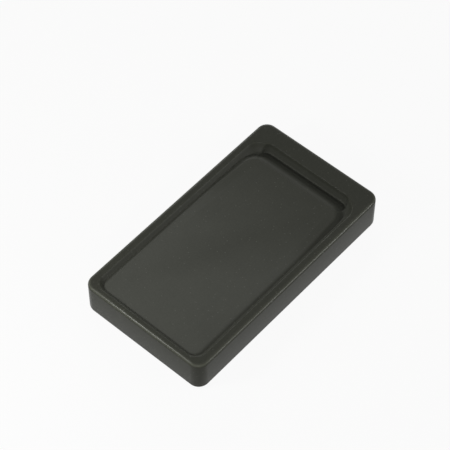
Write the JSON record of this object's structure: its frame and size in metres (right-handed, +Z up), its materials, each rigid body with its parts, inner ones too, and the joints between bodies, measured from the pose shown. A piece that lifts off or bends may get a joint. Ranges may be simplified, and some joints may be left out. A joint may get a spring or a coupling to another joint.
{
  "type": "ink stone",
  "caption": "Rectangular slate ink stone with a rim, a flat grinding hill, a shallow moat round the hill and a deep well across one end.",
  "frame": {"origin": "centre of the flat underside, on the surface that the stone stands on", "axes": "+Y along the stone's length towards the well (the head), +X across it, +Z up"},
  "size_m": [0.075, 0.135, 0.02],
  "materials": {
    "slate": "honed"
  },
  "bodies": {
    "root": {"stone": "slate"}
  },
  "joints": []
}
